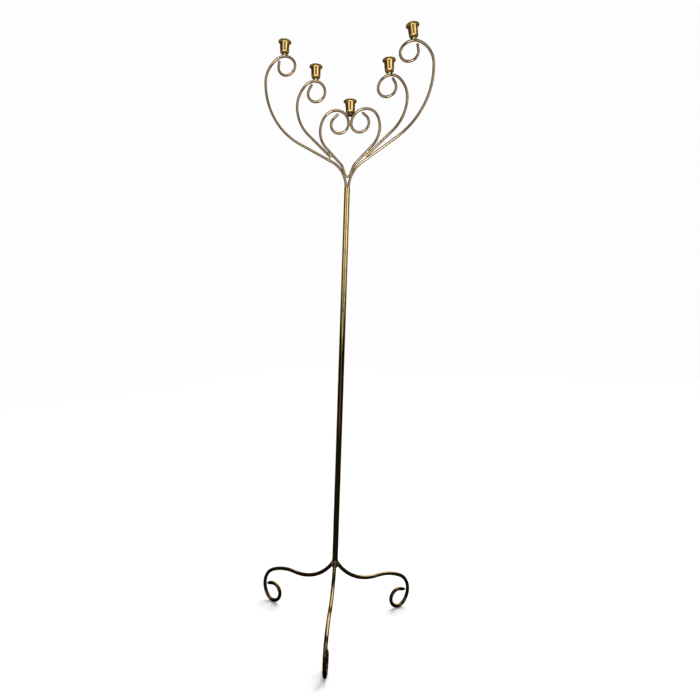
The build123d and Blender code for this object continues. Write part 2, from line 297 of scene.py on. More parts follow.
# %% [markdown]
# Braze and weld froze from a melt, so they are blotched, pitted and dull. Nothing was drawn or turned there,
# so no attribute is needed, and noise on Object coordinates will do. One function makes all of them from two
# colours each. The spigot's plain steel is close enough to be made in the same way.

# %% Braze, weld and the steel of the spigot
BLOTCH_RANGE = (0.42, 0.62)
PIT_RANGE = (0.3, 0.7)
BLOTCH_DETAIL = 4.0
pits_per_blotch = 5.0
pit_strength = 0.5
pit_depth = 0.15 * MM


def cast_metal(name, bright, dark, scale, rough):
    """Metal that froze from a melt: blotched, pitted and dull."""
    finish, tree, shader = new_finish(name)
    where = put(tree, "ShaderNodeTexCoord").outputs["Object"]
    blotches = grain(tree, where, scale, BLOTCH_DETAIL)
    pits = grain(tree, where, scale * pits_per_blotch)
    colour = mixed(tree, spread(tree, blotches, *BLOTCH_RANGE), bright, dark)
    tree.links.new(colour, shader.inputs["Base Color"])
    tree.links.new(spread(tree, pits, *PIT_RANGE, *rough), shader.inputs["Roughness"])
    bump = put(tree, "ShaderNodeBump", {"Height": pits, "Strength": pit_strength, "Distance": pit_depth})
    tree.links.new(bump.outputs["Normal"], shader.inputs["Normal"])
    shader.inputs["Metallic"].default_value = 1.0
    shader.inputs["Specular Tint"].default_value = EDGE_TINT
    print("made", name)
    return finish


braze_metal = cast_metal(
    "braze_metal", bright=(0.54, 0.435, 0.26, 1.0), dark=(0.26, 0.185, 0.09, 1.0),
    scale=260.0, rough=(0.22, 0.40),
)
weld_brass = cast_metal(
    "weld_brass", bright=(0.22, 0.16, 0.085, 1.0), dark=(0.016, 0.011, 0.004, 1.0),
    scale=240.0, rough=(0.25, 0.50),
)
# Painted shade: a darker braze for the collar between the heart's lobes, under the centre cup.
crevice_braze = cast_metal(
    "crevice_braze", bright=(0.13, 0.09, 0.04, 1.0), dark=(0.03, 0.02, 0.007, 1.0),
    scale=260.0, rough=(0.25, 0.45),
)
spigot_steel = cast_metal(
    "spigot_steel", bright=(0.52, 0.51, 0.49, 1.0), dark=(0.30, 0.29, 0.27, 1.0),
    scale=400.0, rough=(0.30, 0.45),
)

# %% [markdown]
# ## How a rod is bent
# A smith bends a rod step by step: so much straight, then so many degrees round a former. A Bezier curve
# could be pulled into the same shape by eye, but a list of runs and bends is what the bench really does,
# and it gives true arcs. `walk` follows such a list and returns points along the rod's middle.

# %% Runs, bends and the walk along them
Run = namedtuple("Run", "length")
Bend = namedtuple("Bend", "radius angle")
walk_step = 2.0 * MM


def travel(point, heading, length):
    """Point reached by going straight on, in the rod's own upright plane."""
    return (point[0] + length * math.cos(heading), point[1] + length * math.sin(heading))


def walk(course, start, heading_degrees):
    """Points along a course, every couple of millimetres, with the heading at each."""
    point, heading = start, math.radians(heading_degrees)
    path = [(point, heading)]
    for step in course:
        turn = 0.0 if isinstance(step, Run) else math.radians(step.angle)
        length = step.length if isinstance(step, Run) else step.radius * abs(turn)
        count = max(1, round(length / walk_step))
        for i in range(count):
            chord = length / count
            if turn:
                half = turn / count / 2
                chord = 2 * step.radius * math.sin(abs(half))
                heading += half
            point = travel(point, heading, chord)
            heading += turn / count / 2
            path.append((point, heading))
    return path


def upright(point, azimuth, aside=0.0):
    """A plane's point set up in space, at an azimuth round the tube, and moved aside out of the plane."""
    c, s = math.cos(math.radians(azimuth)), math.sin(math.radians(azimuth))
    return Vector((point[0] * c + aside * s, point[0] * s - aside * c, point[1]))


print("a quarter bend of 40 mm has", len(walk([Bend(40 * MM, 90)], (0, 0), 0)), "points")

# %% [markdown]
# ## A tree that draws the rod
# A curve with a bevel would make a round rod, but it can't ease the tip, thin a leg or remember where a
# point was on the straight stock. Geometry Nodes can do all three. The tree takes the path as a chain of
# edges, sweeps a circle along it, eases and thins the end, and stores `straight` for the brass. Two helpers
# open and close a tree, because the beads further down need the same beginning and end.

# %% Open and close a geometry tree
SHARP_ANGLE = math.radians(40)


def new_tree(name, sizes):
    """A geometry tree with named inputs: a dictionary from name to socket type."""
    tree = bpy.data.node_groups.new(name, "GeometryNodeTree")
    tree.interface.new_socket("Geometry", in_out="INPUT", socket_type="NodeSocketGeometry")
    for size, kind in sizes.items():
        tree.interface.new_socket(size, in_out="INPUT", socket_type=kind)
    tree.interface.new_socket("Geometry", in_out="OUTPUT", socket_type="NodeSocketGeometry")
    return tree, tree.nodes.new("NodeGroupInput").outputs


def finish_tree(tree, geometry, material):
    """Close a tree: plain mesh, one material, smooth faces with sharp edges kept sharp."""
    real = put(tree, "GeometryNodeRealizeInstances", {"Geometry": geometry}).outputs[0]
    smooth = put(tree, "GeometryNodeSetShadeSmooth", {"Geometry": real, "Shade Smooth": True}).outputs[0]
    angle = put(tree, "GeometryNodeInputMeshEdgeAngle").outputs["Unsigned Angle"]
    angles = {0: angle, 1: SHARP_ANGLE}
    corner = put(tree, "FunctionNodeCompare", angles, operation="GREATER_THAN").outputs[0]
    edges = {"Geometry": smooth, "Selection": corner, "Shade Smooth": False}
    crisp = put(tree, "GeometryNodeSetShadeSmooth", edges, domain="EDGE").outputs[0]
    dressed = put(tree, "GeometryNodeSetMaterial", {"Geometry": crisp, "Material": material}).outputs[0]
    put(tree, "NodeGroupOutput", {"Geometry": dressed})


print("edges are sharp from", round(math.degrees(SHARP_ANGLE)), "degrees")

# %% [markdown]
# A rod's girth is a share of its full radius, worked out along its length. A leg thins towards its point,
# and the last millimetre of any rod is rounded over like a filed end. Both are sums on the distance to the
# tip.

# %% Rod tree: girth along the rod
rod_tree, sizes = new_tree("bent_rod", {
    "Rod radius": "NodeSocketFloat",
    "Tip radius": "NodeSocketFloat",
    "Tip length": "NodeSocketFloat",
    "Easing": "NodeSocketFloat",
    "Flat share": "NodeSocketFloat",
    "Waviness": "NodeSocketFloat",
    "Sides": "NodeSocketInt",
    "Material": "NodeSocketMaterial",
})
middle_line = put(rod_tree, "GeometryNodeMeshToCurve", {"Mesh": sizes["Geometry"]}).outputs[0]
along = put(rod_tree, "GeometryNodeInputNamedAttribute", {"Name": "along"}, data_type="FLOAT").outputs[0]
whole = put(rod_tree, "GeometryNodeSplineLength").outputs["Length"]
to_tip = math_node(rod_tree, "SUBTRACT", whole, along)
thin = math_node(rod_tree, "DIVIDE", sizes["Tip radius"], sizes["Rod radius"])
from_tip = math_node(rod_tree, "DIVIDE", to_tip, sizes["Tip length"], clamp=True)
regained = times(rod_tree, math_node(rod_tree, "SUBTRACT", 1.0, thin), from_tip)
taper = math_node(rod_tree, "ADD", thin, regained)
easings_left = math_node(rod_tree, "DIVIDE", to_tip, sizes["Easing"])
nearness = math_node(rod_tree, "SUBTRACT", 1.0, easings_left, clamp=True)
flat = times(rod_tree, sizes["Flat share"], sizes["Flat share"])
rounding = times(rod_tree, nearness, nearness)
rounding = times(rod_tree, rounding, math_node(rod_tree, "SUBTRACT", 1.0, flat))
eased = math_node(rod_tree, "SQRT", math_node(rod_tree, "SUBTRACT", 1.0, rounding))
girth = times(rod_tree, taper, eased)
print("girth takes", len(rod_tree.nodes), "nodes")

# %% [markdown]
# The circle is swept along the path at that girth. Its own points and the distance along the rod are stored
# as `straight`, so drawn lines follow every bend. A ripple of a few hundredths of a millimetre then keeps
# the highlights from running as evenly as on glass.

# %% Rod tree: sweep and ripple
circle = {"Resolution": sizes["Sides"], "Radius": sizes["Rod radius"]}
ring = put(rod_tree, "GeometryNodeCurvePrimitiveCircle", circle).outputs[0]
capture = rod_tree.nodes.new("GeometryNodeCaptureAttribute")
capture.capture_items.new("VECTOR", "around")
rod_tree.links.new(ring, capture.inputs["Geometry"])
rod_tree.links.new(put(rod_tree, "GeometryNodeInputPosition").outputs[0], capture.inputs["around"])
outline = capture.outputs["Geometry"]
sweep = {"Curve": middle_line, "Profile Curve": outline, "Scale": girth, "Fill Caps": True}
body = put(rod_tree, "GeometryNodeCurveToMesh", sweep).outputs[0]
round_place = put(rod_tree, "ShaderNodeSeparateXYZ", {0: capture.outputs["around"]}).outputs
straight_place = {"X": round_place["X"], "Y": round_place["Y"], "Z": along}
straight = put(rod_tree, "ShaderNodeCombineXYZ", straight_place).outputs[0]
note = {"Geometry": body, "Name": "straight", "Value": straight}
body = put(rod_tree, "GeometryNodeStoreNamedAttribute", note, data_type="FLOAT_VECTOR").outputs[0]

ripple_scale = 70.0
ripple = {"Vector": straight, "Scale": ripple_scale, "Detail": 1.0}
ripple = put(rod_tree, "ShaderNodeTexNoise", ripple).outputs["Fac"]
ripple = times(rod_tree, math_node(rod_tree, "SUBTRACT", ripple, 0.5), sizes["Waviness"])
outwards = put(rod_tree, "GeometryNodeInputNormal").outputs[0]
push = put(rod_tree, "ShaderNodeVectorMath", {0: outwards, "Scale": ripple}, operation="SCALE").outputs[0]
body = put(rod_tree, "GeometryNodeSetPosition", {"Geometry": body, "Offset": push}).outputs[0]
finish_tree(rod_tree, body, sizes["Material"])
print("rod tree has", len(rod_tree.nodes), "nodes")

# %% [markdown]
# A tree works through a modifier on an object. Here the object is the bare path, the modifier's inputs are
# set by their identifiers, and the result is read back as a plain mesh. Each finished piece then rides on
# its body and stands for the solid of the same name.

# %% From a path to a piece
def chain(name, paths):
    """An object of edges along one or more paths, with the distance along each path on its points."""
    points, edges, distances = [], [], []
    for path in paths:
        first = len(points)
        gone = 0.0
        for i, point in enumerate(path):
            if i:
                gone += (Vector(point) - Vector(path[i - 1])).length
                edges.append((first + i - 1, first + i))
            points.append(point)
            distances.append(gone)
    mesh = bpy.data.meshes.new(name)
    mesh.from_pydata(points, edges, [])
    mesh.attributes.new("along", "FLOAT", "POINT").data.foreach_set("value", distances)
    made = bpy.data.objects.new(name, mesh)
    bpy.context.scene.collection.objects.link(made)
    return made


def close_faces(mesh):
    """Turn a closed mesh right side out if its faces point inwards."""
    shell = bmesh.new()
    shell.from_mesh(mesh)
    if shell.calc_volume(signed=True) < 0:
        bmesh.ops.reverse_faces(shell, faces=shell.faces)
    shell.to_mesh(mesh)
    shell.free()


def grow(made, tree, values):
    """Run a tree on an object, and keep the result as the object's own plain mesh."""
    modifier = made.modifiers.new(tree.name, "NODES")
    modifier.node_group = tree
    for item in tree.interface.items_tree:
        if item.in_out == "INPUT" and item.name in values:
            modifier[item.identifier] = values[item.name]
    layer = bpy.context.evaluated_depsgraph_get()
    shown = made.evaluated_get(layer)
    mesh = bpy.data.meshes.new_from_object(shown, preserve_all_data_layers=True, depsgraph=layer)
    made.modifiers.clear()
    made.data = mesh
    mesh.name = made.name
    close_faces(mesh)
    return made


def settle(made, node):
    """A finished piece stands for a solid and rides on its body."""
    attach(made, frame["nodes"][node]["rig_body"])
    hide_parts(node)
    print(made.name, len(made.data.polygons), "faces, for", node)


print("solids to stand for:", len(frame["nodes"]))

# %% [markdown]
# A rod is then one call: a path, a finish and a radius. The path gets a few more points near its tip,
# because a round end needs more of them than a bend does.

# %% A rod along a path
rod_radius = 3.5 * MM
rod_sides = 32
rod_easing = 0.9 * MM
rod_flat_share = 0.72
rod_waviness = 0.06 * MM
easing_clear = 1.3
easing_shares = (1.1, 0.8, 0.55, 0.3, 0.12, 0.0)


def eased_path(points, easing):
    """A path with a few more points near its tip, where the rod is rounded over."""
    tip, before = Vector(points[-1]), Vector(points[-2])
    back = (before - tip).normalized()
    kept = [p for p in points if (Vector(p) - tip).length > easing_clear * easing]
    return kept + [tip + back * easing * share for share in easing_shares]


def bent_rod(name, points, material, radius=rod_radius, tip_radius=None, tip_length=1.0 * MM,
             easing=rod_easing, flat_share=rod_flat_share):
    """A round rod along a path."""
    return grow(chain(name, [eased_path(points, easing)]), rod_tree, {
        "Rod radius": radius,
        "Tip radius": tip_radius or radius,
        "Tip length": tip_length,
        "Easing": easing,
        "Flat share": flat_share,
        "Waviness": rod_waviness,
        "Sides": rod_sides,
        "Material": material,
    })


print("rods are", round(2 * rod_radius / MM, 1), "mm thick, with", rod_sides, "sides")

# %% [markdown]
# ## The arms of the tree
# Six rods make the tree: two outer arms that stand side by side on the ferrule, two heart arms whose lobes
# meet in the middle, and two middle arms that start beside the heart. Left and right are bent on the same
# formers, and set a degree or two apart by hand.

# %% Outer arms
sides = {"right": (0.0, 1), "left": (180.0, -1)}
braze_gap = 0.6 * MM
rod_pitch = 2 * rod_radius + braze_gap
head_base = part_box("head_ferrule")[1].z
outer_set = 2.25
outer_sweep_set = 0.45
outer_path = {}
for side, (azimuth, hand) in sides.items():
    course = [
        Bend(80 * MM, -58.2 + outer_set * hand),  # out of the throat
        Run(105.5 * MM),
        Bend(207.5 * MM, 59.05 + outer_sweep_set * hand),  # long sweep upwards
        Bend(70.5 * MM, 58.2),  # shoulder
        Bend(35.8 * MM, 84.4),  # crown, where the cup stands
        Bend(23.8 * MM, 225.2),  # scroll
        Run(14.8 * MM),
    ]
    outer_path[side] = walk(course, (rod_pitch / 2, head_base), 90)
    points = [upright(point, azimuth) for point, heading in outer_path[side]]
    settle(bent_rod(f"outer_{side}_rod", points, rod_brass), f"outer_arm_{side}")

# %% [markdown]
# The second straight of a heart arm isn't measured: it is as long as brings the lobes side by side in the
# middle. So the arm is walked once with a very short one, and the gap that is left gives its length.

# %% Heart arms
heart_set = 0.8
heart_aside = 5.7 * MM
heart_rise = 30 * MM
heart_start = (heart_aside, head_base + heart_rise)
heart_heading = 70.0
heart_foot = -23.7


def heart_course(set_angle, second_run):
    """Runs and bends of a heart arm."""
    return [
        Run(25.5 * MM),
        Bend(25 * MM, heart_foot - set_angle),  # away from the outer arm
        Run(second_run),
        Bend(67.2 * MM, 73.4),  # side of the heart
        Bend(36.8 * MM, 152.7),  # lobe
        Bend(23.9 * MM, 226.5),  # scroll
        Run(14.5 * MM),
    ]


short_walk = walk(heart_course(0.0, walk_step), heart_start, heart_heading)
scroll_side = min(point[0] for point, heading in short_walk[len(short_walk) // 2:])
lean = math.cos(math.radians(heart_heading + heart_foot))
heart_second_run = walk_step + (rod_pitch / 2 - scroll_side) / lean
heart_path = {}
for side, (azimuth, hand) in sides.items():
    heart_path[side] = walk(heart_course(heart_set * hand, heart_second_run), heart_start, heart_heading)
    points = [upright(point, azimuth) for point, heading in heart_path[side]]
    settle(bent_rod(f"heart_{side}_rod", points, rod_brass), f"heart_arm_{side}")
print("second run of the heart arms:", round(heart_second_run / MM, 1), "mm")

# %% [markdown]
# The middle arms were cut from the same rod and brazed against the outside of the heart. So each starts from
# its heart arm: a little way along the second straight, one rod's width aside, and turned a little outwards.

# %% Middle arms
middle_along = 34.3 * MM
middle_splay = 2.8
middle_path = {}
for side, (azimuth, hand) in sides.items():
    foot = walk(heart_course(heart_set * hand, heart_second_run)[:2], heart_start, heart_heading)[-1]
    beside = travel(foot[0], foot[1], middle_along)
    start = travel(beside, foot[1] - math.pi / 2, rod_pitch)
    course = [
        Run(90.3 * MM),
        Bend(113.7 * MM, 44.4 + heart_set * hand),  # sweep upwards
        Bend(74.7 * MM, 48.3),  # shoulder
        Bend(32.3 * MM, 131.5),  # crown, where the cup stands
        Bend(23.8 * MM, 213.4),  # scroll
        Run(13.5 * MM),
    ]
    middle_path[side] = walk(course, start, math.degrees(foot[1]) - middle_splay)
    points = [upright(point, azimuth) for point, heading in middle_path[side]]
    settle(bent_rod(f"middle_{side}_rod", points, rod_brass), f"middle_arm_{side}")

# %% [markdown]
# ## Legs
# Each leg is one thicker rod: down and out from the tube, over a knee, and round into a scroll that stands
# on the floor. Its end was left straight and forged to a point. The walk starts at the height that puts the
# scroll's lowest point one rod radius above the floor.

# %% Legs
leg_radius = 5.0 * MM
leg_tip_radius = 1.3 * MM
leg_point = 9.5 * MM
leg_easing = 1.0 * MM
leg_flat_share = 0.35
leg_heading = -55.5
leg_lead_share = 0.6
tube_radius = 7.7 * MM
leg_course = [
    Bend(139 * MM, 60.8),  # hip, down and out from the tube
    Bend(150.7 * MM, -31.4),  # knee
    Bend(51.4 * MM, -108.4),  # shin
    Bend(24.9 * MM, -241.3),  # scroll, which stands on the floor
    Run(9.4 * MM + leg_point),
]
leg_drop = min(point[1] for point, heading in walk(leg_course, (tube_radius, 0.0), leg_heading))
leg_root = leg_radius - leg_drop
leg_azimuth = {"front": 279.9, "right": 41.1, "left": 161.2}
lead = tube_radius / math.cos(math.radians(leg_heading)) * leg_lead_share
leg_start = travel((tube_radius, leg_root), math.radians(leg_heading), -lead)
for name, azimuth in leg_azimuth.items():
    path = walk([Run(lead)] + leg_course, leg_start, leg_heading)
    points = [upright(point, azimuth) for point, heading in path]
    leg = bent_rod(
        f"{name}_leg_rod", points, leg_brass, leg_radius,
        leg_tip_radius, leg_point, leg_easing, leg_flat_share,
    )
    settle(leg, f"leg_{name}")
print("legs meet the tube at", round(leg_root, 4), "m")

# %% [markdown]
# ## Turned pieces
# The tube, the ferrule and the cups are round about an axis. The Spin operator or a Screw modifier would
# turn a profile, but both need the seam and the poles mended afterwards. A few lines that lay rings of
# points and bridge them give a closed mesh at once, and can store the `turned` place as they go.

# %% A lathe
turn_sides = 72
pole_radius = 1e-7


def turned(name, profile, material, attribute, closed=False, base=Matrix.Identity(4)):
    """A profile of (radius, height), turned, placed by a matrix, and with its lathe place stored."""
    local, rings, faces = [], [], []
    for radius, height in profile:
        count = turn_sides if radius > pole_radius else 1
        rings.append(list(range(len(local), len(local) + count)))
        for i in range(count):
            angle = 2 * math.pi * i / turn_sides
            local.append(Vector((radius * math.cos(angle), radius * math.sin(angle), height)))
    pairs = list(zip(rings, rings[1:] + rings[:1])) if closed else list(zip(rings, rings[1:]))
    for lower, upper in pairs:
        for i in range(turn_sides):
            j = (i + 1) % turn_sides
            below = [lower[i % len(lower)], lower[j % len(lower)]]
            above = [upper[j % len(upper)], upper[i % len(upper)]]
            faces.append(list(dict.fromkeys(below + above)))
    mesh = bpy.data.meshes.new(name)
    mesh.from_pydata([base @ point for point in local], [], faces)
    values = [x for point in local for x in point]
    mesh.attributes.new(attribute, "FLOAT_VECTOR", "POINT").data.foreach_set("vector", values)
    mesh.materials.append(material)
    close_faces(mesh)
    mesh.shade_smooth()
    mesh.set_sharp_from_angle(angle=SHARP_ANGLE)
    made = bpy.data.objects.new(name, mesh)
    bpy.context.scene.collection.objects.link(made)
    return made


def arc(start, end, centre, steps):
    """Points of an arc about a centre, from one point to another, the short way."""
    first = math.atan2(start[1] - centre[1], start[0] - centre[0])
    turn = math.atan2(end[1] - centre[1], end[0] - centre[0]) - first
    turn = (turn + math.pi) % (2 * math.pi) - math.pi
    radius = math.dist(start, centre)
    angles = [first + turn * i / steps for i in range(steps + 1)]
    return [(centre[0] + radius * math.cos(a), centre[1] + radius * math.sin(a)) for a in angles]


print("the lathe lays rings of", turn_sides, "points")

# %% [markdown]
# The tube is the post of the stand, and the ferrule on top of it carries the head. They have the same
# diameter and are parted by a fine line. The tube's wall is laid in many rings, so that no face is a long
# sliver.

# %% Tube and ferrule
tube_bore = 6.5 * MM
edge = 0.4 * MM
parting_gap = 0.05 * MM
ferrule_grip = 0.01 * MM
tube_low, tube_high = (corner.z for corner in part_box("shaft_tube"))
tube_high -= parting_gap
ferrule_low, ferrule_high = (corner.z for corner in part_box("head_ferrule"))
tube_rings = 120
wall_height = tube_high - edge - tube_low
wall = [(tube_radius, tube_low + wall_height * i / tube_rings) for i in range(tube_rings + 1)]
profile = wall + [(tube_radius - edge, tube_high), (tube_bore, tube_high), (tube_bore, tube_low)]
settle(turned("shaft", profile, tube_brass, "straight", True), "shaft_tube")

soft = 2 * edge
soft_steps = 5
soft_centre = (tube_radius - soft, ferrule_high - soft)
soft_start = (tube_radius, ferrule_high - soft)
soft_end = (tube_radius - soft, ferrule_high)
soft_edge = arc(soft_start, soft_end, soft_centre, soft_steps)
ferrule_bore = tube_bore - ferrule_grip
profile = [(tube_radius - edge, ferrule_low), (tube_radius, ferrule_low + edge)] + soft_edge
profile += [(ferrule_bore, ferrule_high), (ferrule_bore, ferrule_low)]
settle(turned("ferrule", profile, tube_brass, "straight", True), "head_ferrule")

# %% [markdown]
# ## Candle cups
# A cup is a small bell: a foot, a round heel, a body that widens a little, and a rim that opens like a
# trumpet to a thin rounded lip. It could be traced point by point, but a few radii and heights draw the
# same bell and can still be changed. The profile runs up the outside, over the lip and down the bore.

# %% Profile of a cup
cup_height = 32.5 * MM
cup_floor = 7.5 * MM
bore_radius = 11.3 * MM
waist_radius = 12.2 * MM
shoulder_radius = 13.2 * MM
rim_radius = 17.7 * MM
foot_radius = 8.0 * MM
flare_height = 5.5 * MM
mouth_depth = 5.0 * MM
shoulder_height = cup_height - flare_height
mouth_height = cup_height - mouth_depth
lip_radius = 0.55 * MM
flare_curl = 2.6


def flare(low, high, steps):
    """A trumpet flare that leaves the wall upright and opens faster towards the rim."""
    points = []
    for i in range(steps + 1):
        share = i / steps
        radius = low[0] + (high[0] - low[0]) * share**flare_curl
        points.append((radius, low[1] + (high[1] - low[1]) * share))
    return points


lip_centre = (rim_radius - lip_radius, cup_height - lip_radius)
heel_radius = cup_floor
heel_steps = 14
heel_middle = Vector((foot_radius + waist_radius, cup_floor)) / 2
heel_chord = Vector((waist_radius - foot_radius, cup_floor))
heel_inward = Vector((-heel_chord.y, heel_chord.x)).normalized()
heel_centre = heel_middle + heel_inward * math.sqrt(heel_radius**2 - heel_chord.length_squared / 4)
heel = arc((foot_radius, 0.0), (waist_radius, cup_floor), heel_centre, heel_steps)
outside = [(0.0, 0.0), (foot_radius / 2, 0.0)] + heel[:-1]
body_steps = 10
for i in range(body_steps):
    share = i / body_steps
    outside.append((waist_radius + (shoulder_radius - waist_radius) * share,
                    cup_floor + (shoulder_height - cup_floor) * share))
flare_steps = 10
under_lip = (lip_centre[0], lip_centre[1] - lip_radius)
outside += flare((shoulder_radius, shoulder_height), under_lip, flare_steps)
lip_steps = 8
lip = []
for i in range(1, lip_steps + 1):
    a = math.pi * i / lip_steps
    lip.append((lip_centre[0] + lip_radius * math.sin(a), lip_centre[1] - lip_radius * math.cos(a)))
mouth_steps = 8
inside = flare((bore_radius, mouth_height), (lip_centre[0], cup_height), mouth_steps)[:-1][::-1]
bore_steps = 6
for i in range(1, bore_steps + 1):
    inside.append((bore_radius, mouth_height + (cup_floor - mouth_height) * i / bore_steps))
inside += [(bore_radius / 2, cup_floor), (0.0, cup_floor)]
cup_profile = outside + lip + inside
print("a cup's profile has", len(cup_profile), "points")

# %% [markdown]
# The frame's record says where each candle socket is and which way it points. So the one profile is turned
# five times, each time about a socket's own axis, and the cups lean as their arms do.

# %% Spin the cups
socket_middle = (cup_floor + mouth_height) / 2
sockets = [m for m in frame["record"]["mounts"] if m["kind"] == "bore"]
cup_seat = {}
for socket in sockets:
    spot = socket["name"].replace("candle_socket_", "")
    axis = Vector(socket["axis"]).normalized()
    seat = Vector(socket["pos_m"]) - axis * socket_middle
    base = Matrix.Translation(seat) @ Vector((0, 0, 1)).rotation_difference(axis).to_matrix().to_4x4()
    cup_seat[spot] = base
    cup = turned(f"{spot}_cup", cup_profile, cup_brass, "turned", False, base)
    settle(cup, f"candle_cup_{spot}")

# %% [markdown]
# ## Beads of braze and weld
# Where two rods meet, molten metal ran along the seam and froze in ripples, like a row of coins. Modelling
# each ripple by hand would be slow. A tree puts a small lump every millimetre or so along the seam, with a
# fixed seed for its size, melts the lumps into one skin through a volume, and gives it the metal.

# %% Build the bead tree
bead_tree, sizes = new_tree("bead", {
    "Bead radius": "NodeSocketFloat",
    "Pitch": "NodeSocketFloat",
    "Unevenness": "NodeSocketFloat",
    "Grain": "NodeSocketFloat",
    "Seed": "NodeSocketInt",
    "Material": "NodeSocketMaterial",
})
seam = put(bead_tree, "GeometryNodeMeshToCurve", {"Mesh": sizes["Geometry"]}).outputs[0]
spaced = {"Curve": seam, "Length": sizes["Pitch"]}
seam = put(bead_tree, "GeometryNodeResampleCurve", spaced, mode="LENGTH").outputs[0]
lump_subdivisions = 3
lump = {"Radius": sizes["Bead radius"], "Subdivisions": lump_subdivisions}
lump = put(bead_tree, "GeometryNodeMeshIcoSphere", lump).outputs[0]
smallest = math_node(bead_tree, "SUBTRACT", 1.0, sizes["Unevenness"])
largest = math_node(bead_tree, "ADD", 1.0, sizes["Unevenness"])
chance = {2: smallest, 3: largest, "Seed": sizes["Seed"]}
size = put(bead_tree, "FunctionNodeRandomValue", chance, data_type="FLOAT").outputs[1]
lumps = {"Points": seam, "Instance": lump, "Scale": size}
lumps = put(bead_tree, "GeometryNodeInstanceOnPoints", lumps).outputs[0]
lumps = put(bead_tree, "GeometryNodeRealizeInstances", {"Geometry": lumps}).outputs[0]
melt = put(bead_tree, "GeometryNodeMeshToVolume", {"Mesh": lumps}, resolution_mode="VOXEL_SIZE")
bead_tree.links.new(sizes["Grain"], melt.inputs["Voxel Size"])
band_grains = 2.0
bead_tree.links.new(times(bead_tree, sizes["Grain"], band_grains), melt.inputs["Interior Band Width"])
skin_threshold = 0.1
skin = {"Volume": melt.outputs[0], "Threshold": skin_threshold}
skin = put(bead_tree, "GeometryNodeVolumeToMesh", skin, resolution_mode="GRID").outputs[0]
finish_tree(bead_tree, skin, sizes["Material"])
print("bead tree has", len(bead_tree.nodes), "nodes")

# %% [markdown]
# Each leg is welded on where its round meets the round of the tube. That seam is a saddle-shaped loop. It
# could be found by cutting one mesh with the other, but for two cylinders a few sums give it exactly.

# %% Seams where the legs meet the tube
seam_steps = 40
bead_seeds = itertools.count(1)


def bead(name, paths, material, radius, pitch, unevenness=0.22, fineness=0.28 * MM):
    """A frozen bead along one or more seams."""
    return grow(chain(name, paths), bead_tree, {
        "Bead radius": radius,
        "Pitch": pitch,
        "Unevenness": unevenness,
        "Grain": fineness,
        "Seed": next(bead_seeds),
        "Material": material,
    })


def leg_seam(azimuth):
    """Where a leg's round meets the tube's round: one loop."""
    slope = math.radians(leg_heading)
    loop = []
    for i in range(seam_steps + 1):
        a = 2 * math.pi * i / seam_steps
        side_way = leg_radius * math.sin(a)
        reach = math.sqrt(tube_radius**2 - side_way**2)
        across = leg_radius * math.cos(a)
        ahead_way = (reach - tube_radius + across * math.sin(slope)) / math.cos(slope)
        x = tube_radius + ahead_way * math.cos(slope) - across * math.sin(slope)
        z = leg_root + ahead_way * math.sin(slope) + across * math.cos(slope)
        loop.append(upright((x, z), azimuth, side_way))
    return loop


for name, azimuth in leg_azimuth.items():
    weld = bead(f"{name}_leg_bead", [leg_seam(azimuth)], weld_brass, radius=1.2 * MM, pitch=1.3 * MM)
    settle(weld, f"leg_weld_{name}")

# %% [markdown]
# In the tree the rods lie side by side, so the braze filled the valley between them, front and back. Each
# seam is a short path in that valley. The foot of a middle arm also has a stub of braze across to the outer
# arm that passes under it.

# %% Braze in the tree
def nearest(path, target):
    """The place on a path that is nearest to a point."""
    return min((point for point, heading in path), key=lambda point: math.dist(point, target))


def valley(first, second, azimuth, depth):
    """Paths along the middle of two rods, in front of and behind them."""
    line = [((a[0] + b[0]) / 2, (a[1] + b[1]) / 2) for a, b in zip(first, second)]
    return [[upright(point, azimuth, way * depth) for point in line] for way in (-1, 1)]


valley_depth = 2.1 * MM
throat_height = 9.0 * MM
throat_steps = 6
up_throat = [(0.0, head_base + throat_height * i / throat_steps) for i in range(throat_steps + 1)]
paths = valley(up_throat, up_throat, 0.0, valley_depth)
throat = bead("throat_bead", paths, braze_metal, radius=1.9 * MM, pitch=1.4 * MM)
settle(throat, "throat_braze")

lobes_low, lobes_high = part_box("heart_braze")
lobes_meet = (lobes_low + lobes_high) / 2
lobe_step = 1.2 * MM
lobe_steps_each_way = 4
lobe_line = []
for i in range(-lobe_steps_each_way, lobe_steps_each_way + 1):
    lobe_line.append((lobes_meet.x, lobes_meet.z + i * lobe_step))
paths = valley(lobe_line, lobe_line, 0.0, valley_depth)
lobes = bead("lobe_bead", paths, braze_metal, radius=1.9 * MM, pitch=1.3 * MM)
settle(lobes, "heart_braze")

stub_steps = 6
seam_points = 8
for side, (azimuth, hand) in sides.items():
    foot = middle_path[side][0][0]
    under = nearest(outer_path[side], foot)
    stub = []
    for i in range(stub_steps + 1):
        x = foot[0] + (under[0] - foot[0]) * i / stub_steps
        z = foot[1] + (under[1] - foot[1]) * i / stub_steps
        stub.append(upright((x, z), azimuth))
    along_middle = [point for point, heading in middle_path[side][:seam_points]]
    along_heart = [nearest(heart_path[side], point) for point in along_middle]
    paths = [stub] + valley(along_middle, along_heart, azimuth, valley_depth)
    knot = bead(f"middle_{side}_bead", paths, braze_metal, radius=2.0 * MM, pitch=1.3 * MM)
    settle(knot, f"middle_braze_{side}")

# %% [markdown]
# The tie across the throat is a short bar, so it is drawn as a rod. Each cup sits on a small collar of
# braze: three rings of lumps under its foot, melted into one. The collar between the two lobes of the heart
# is wider, and its braze is painted darker as shade.

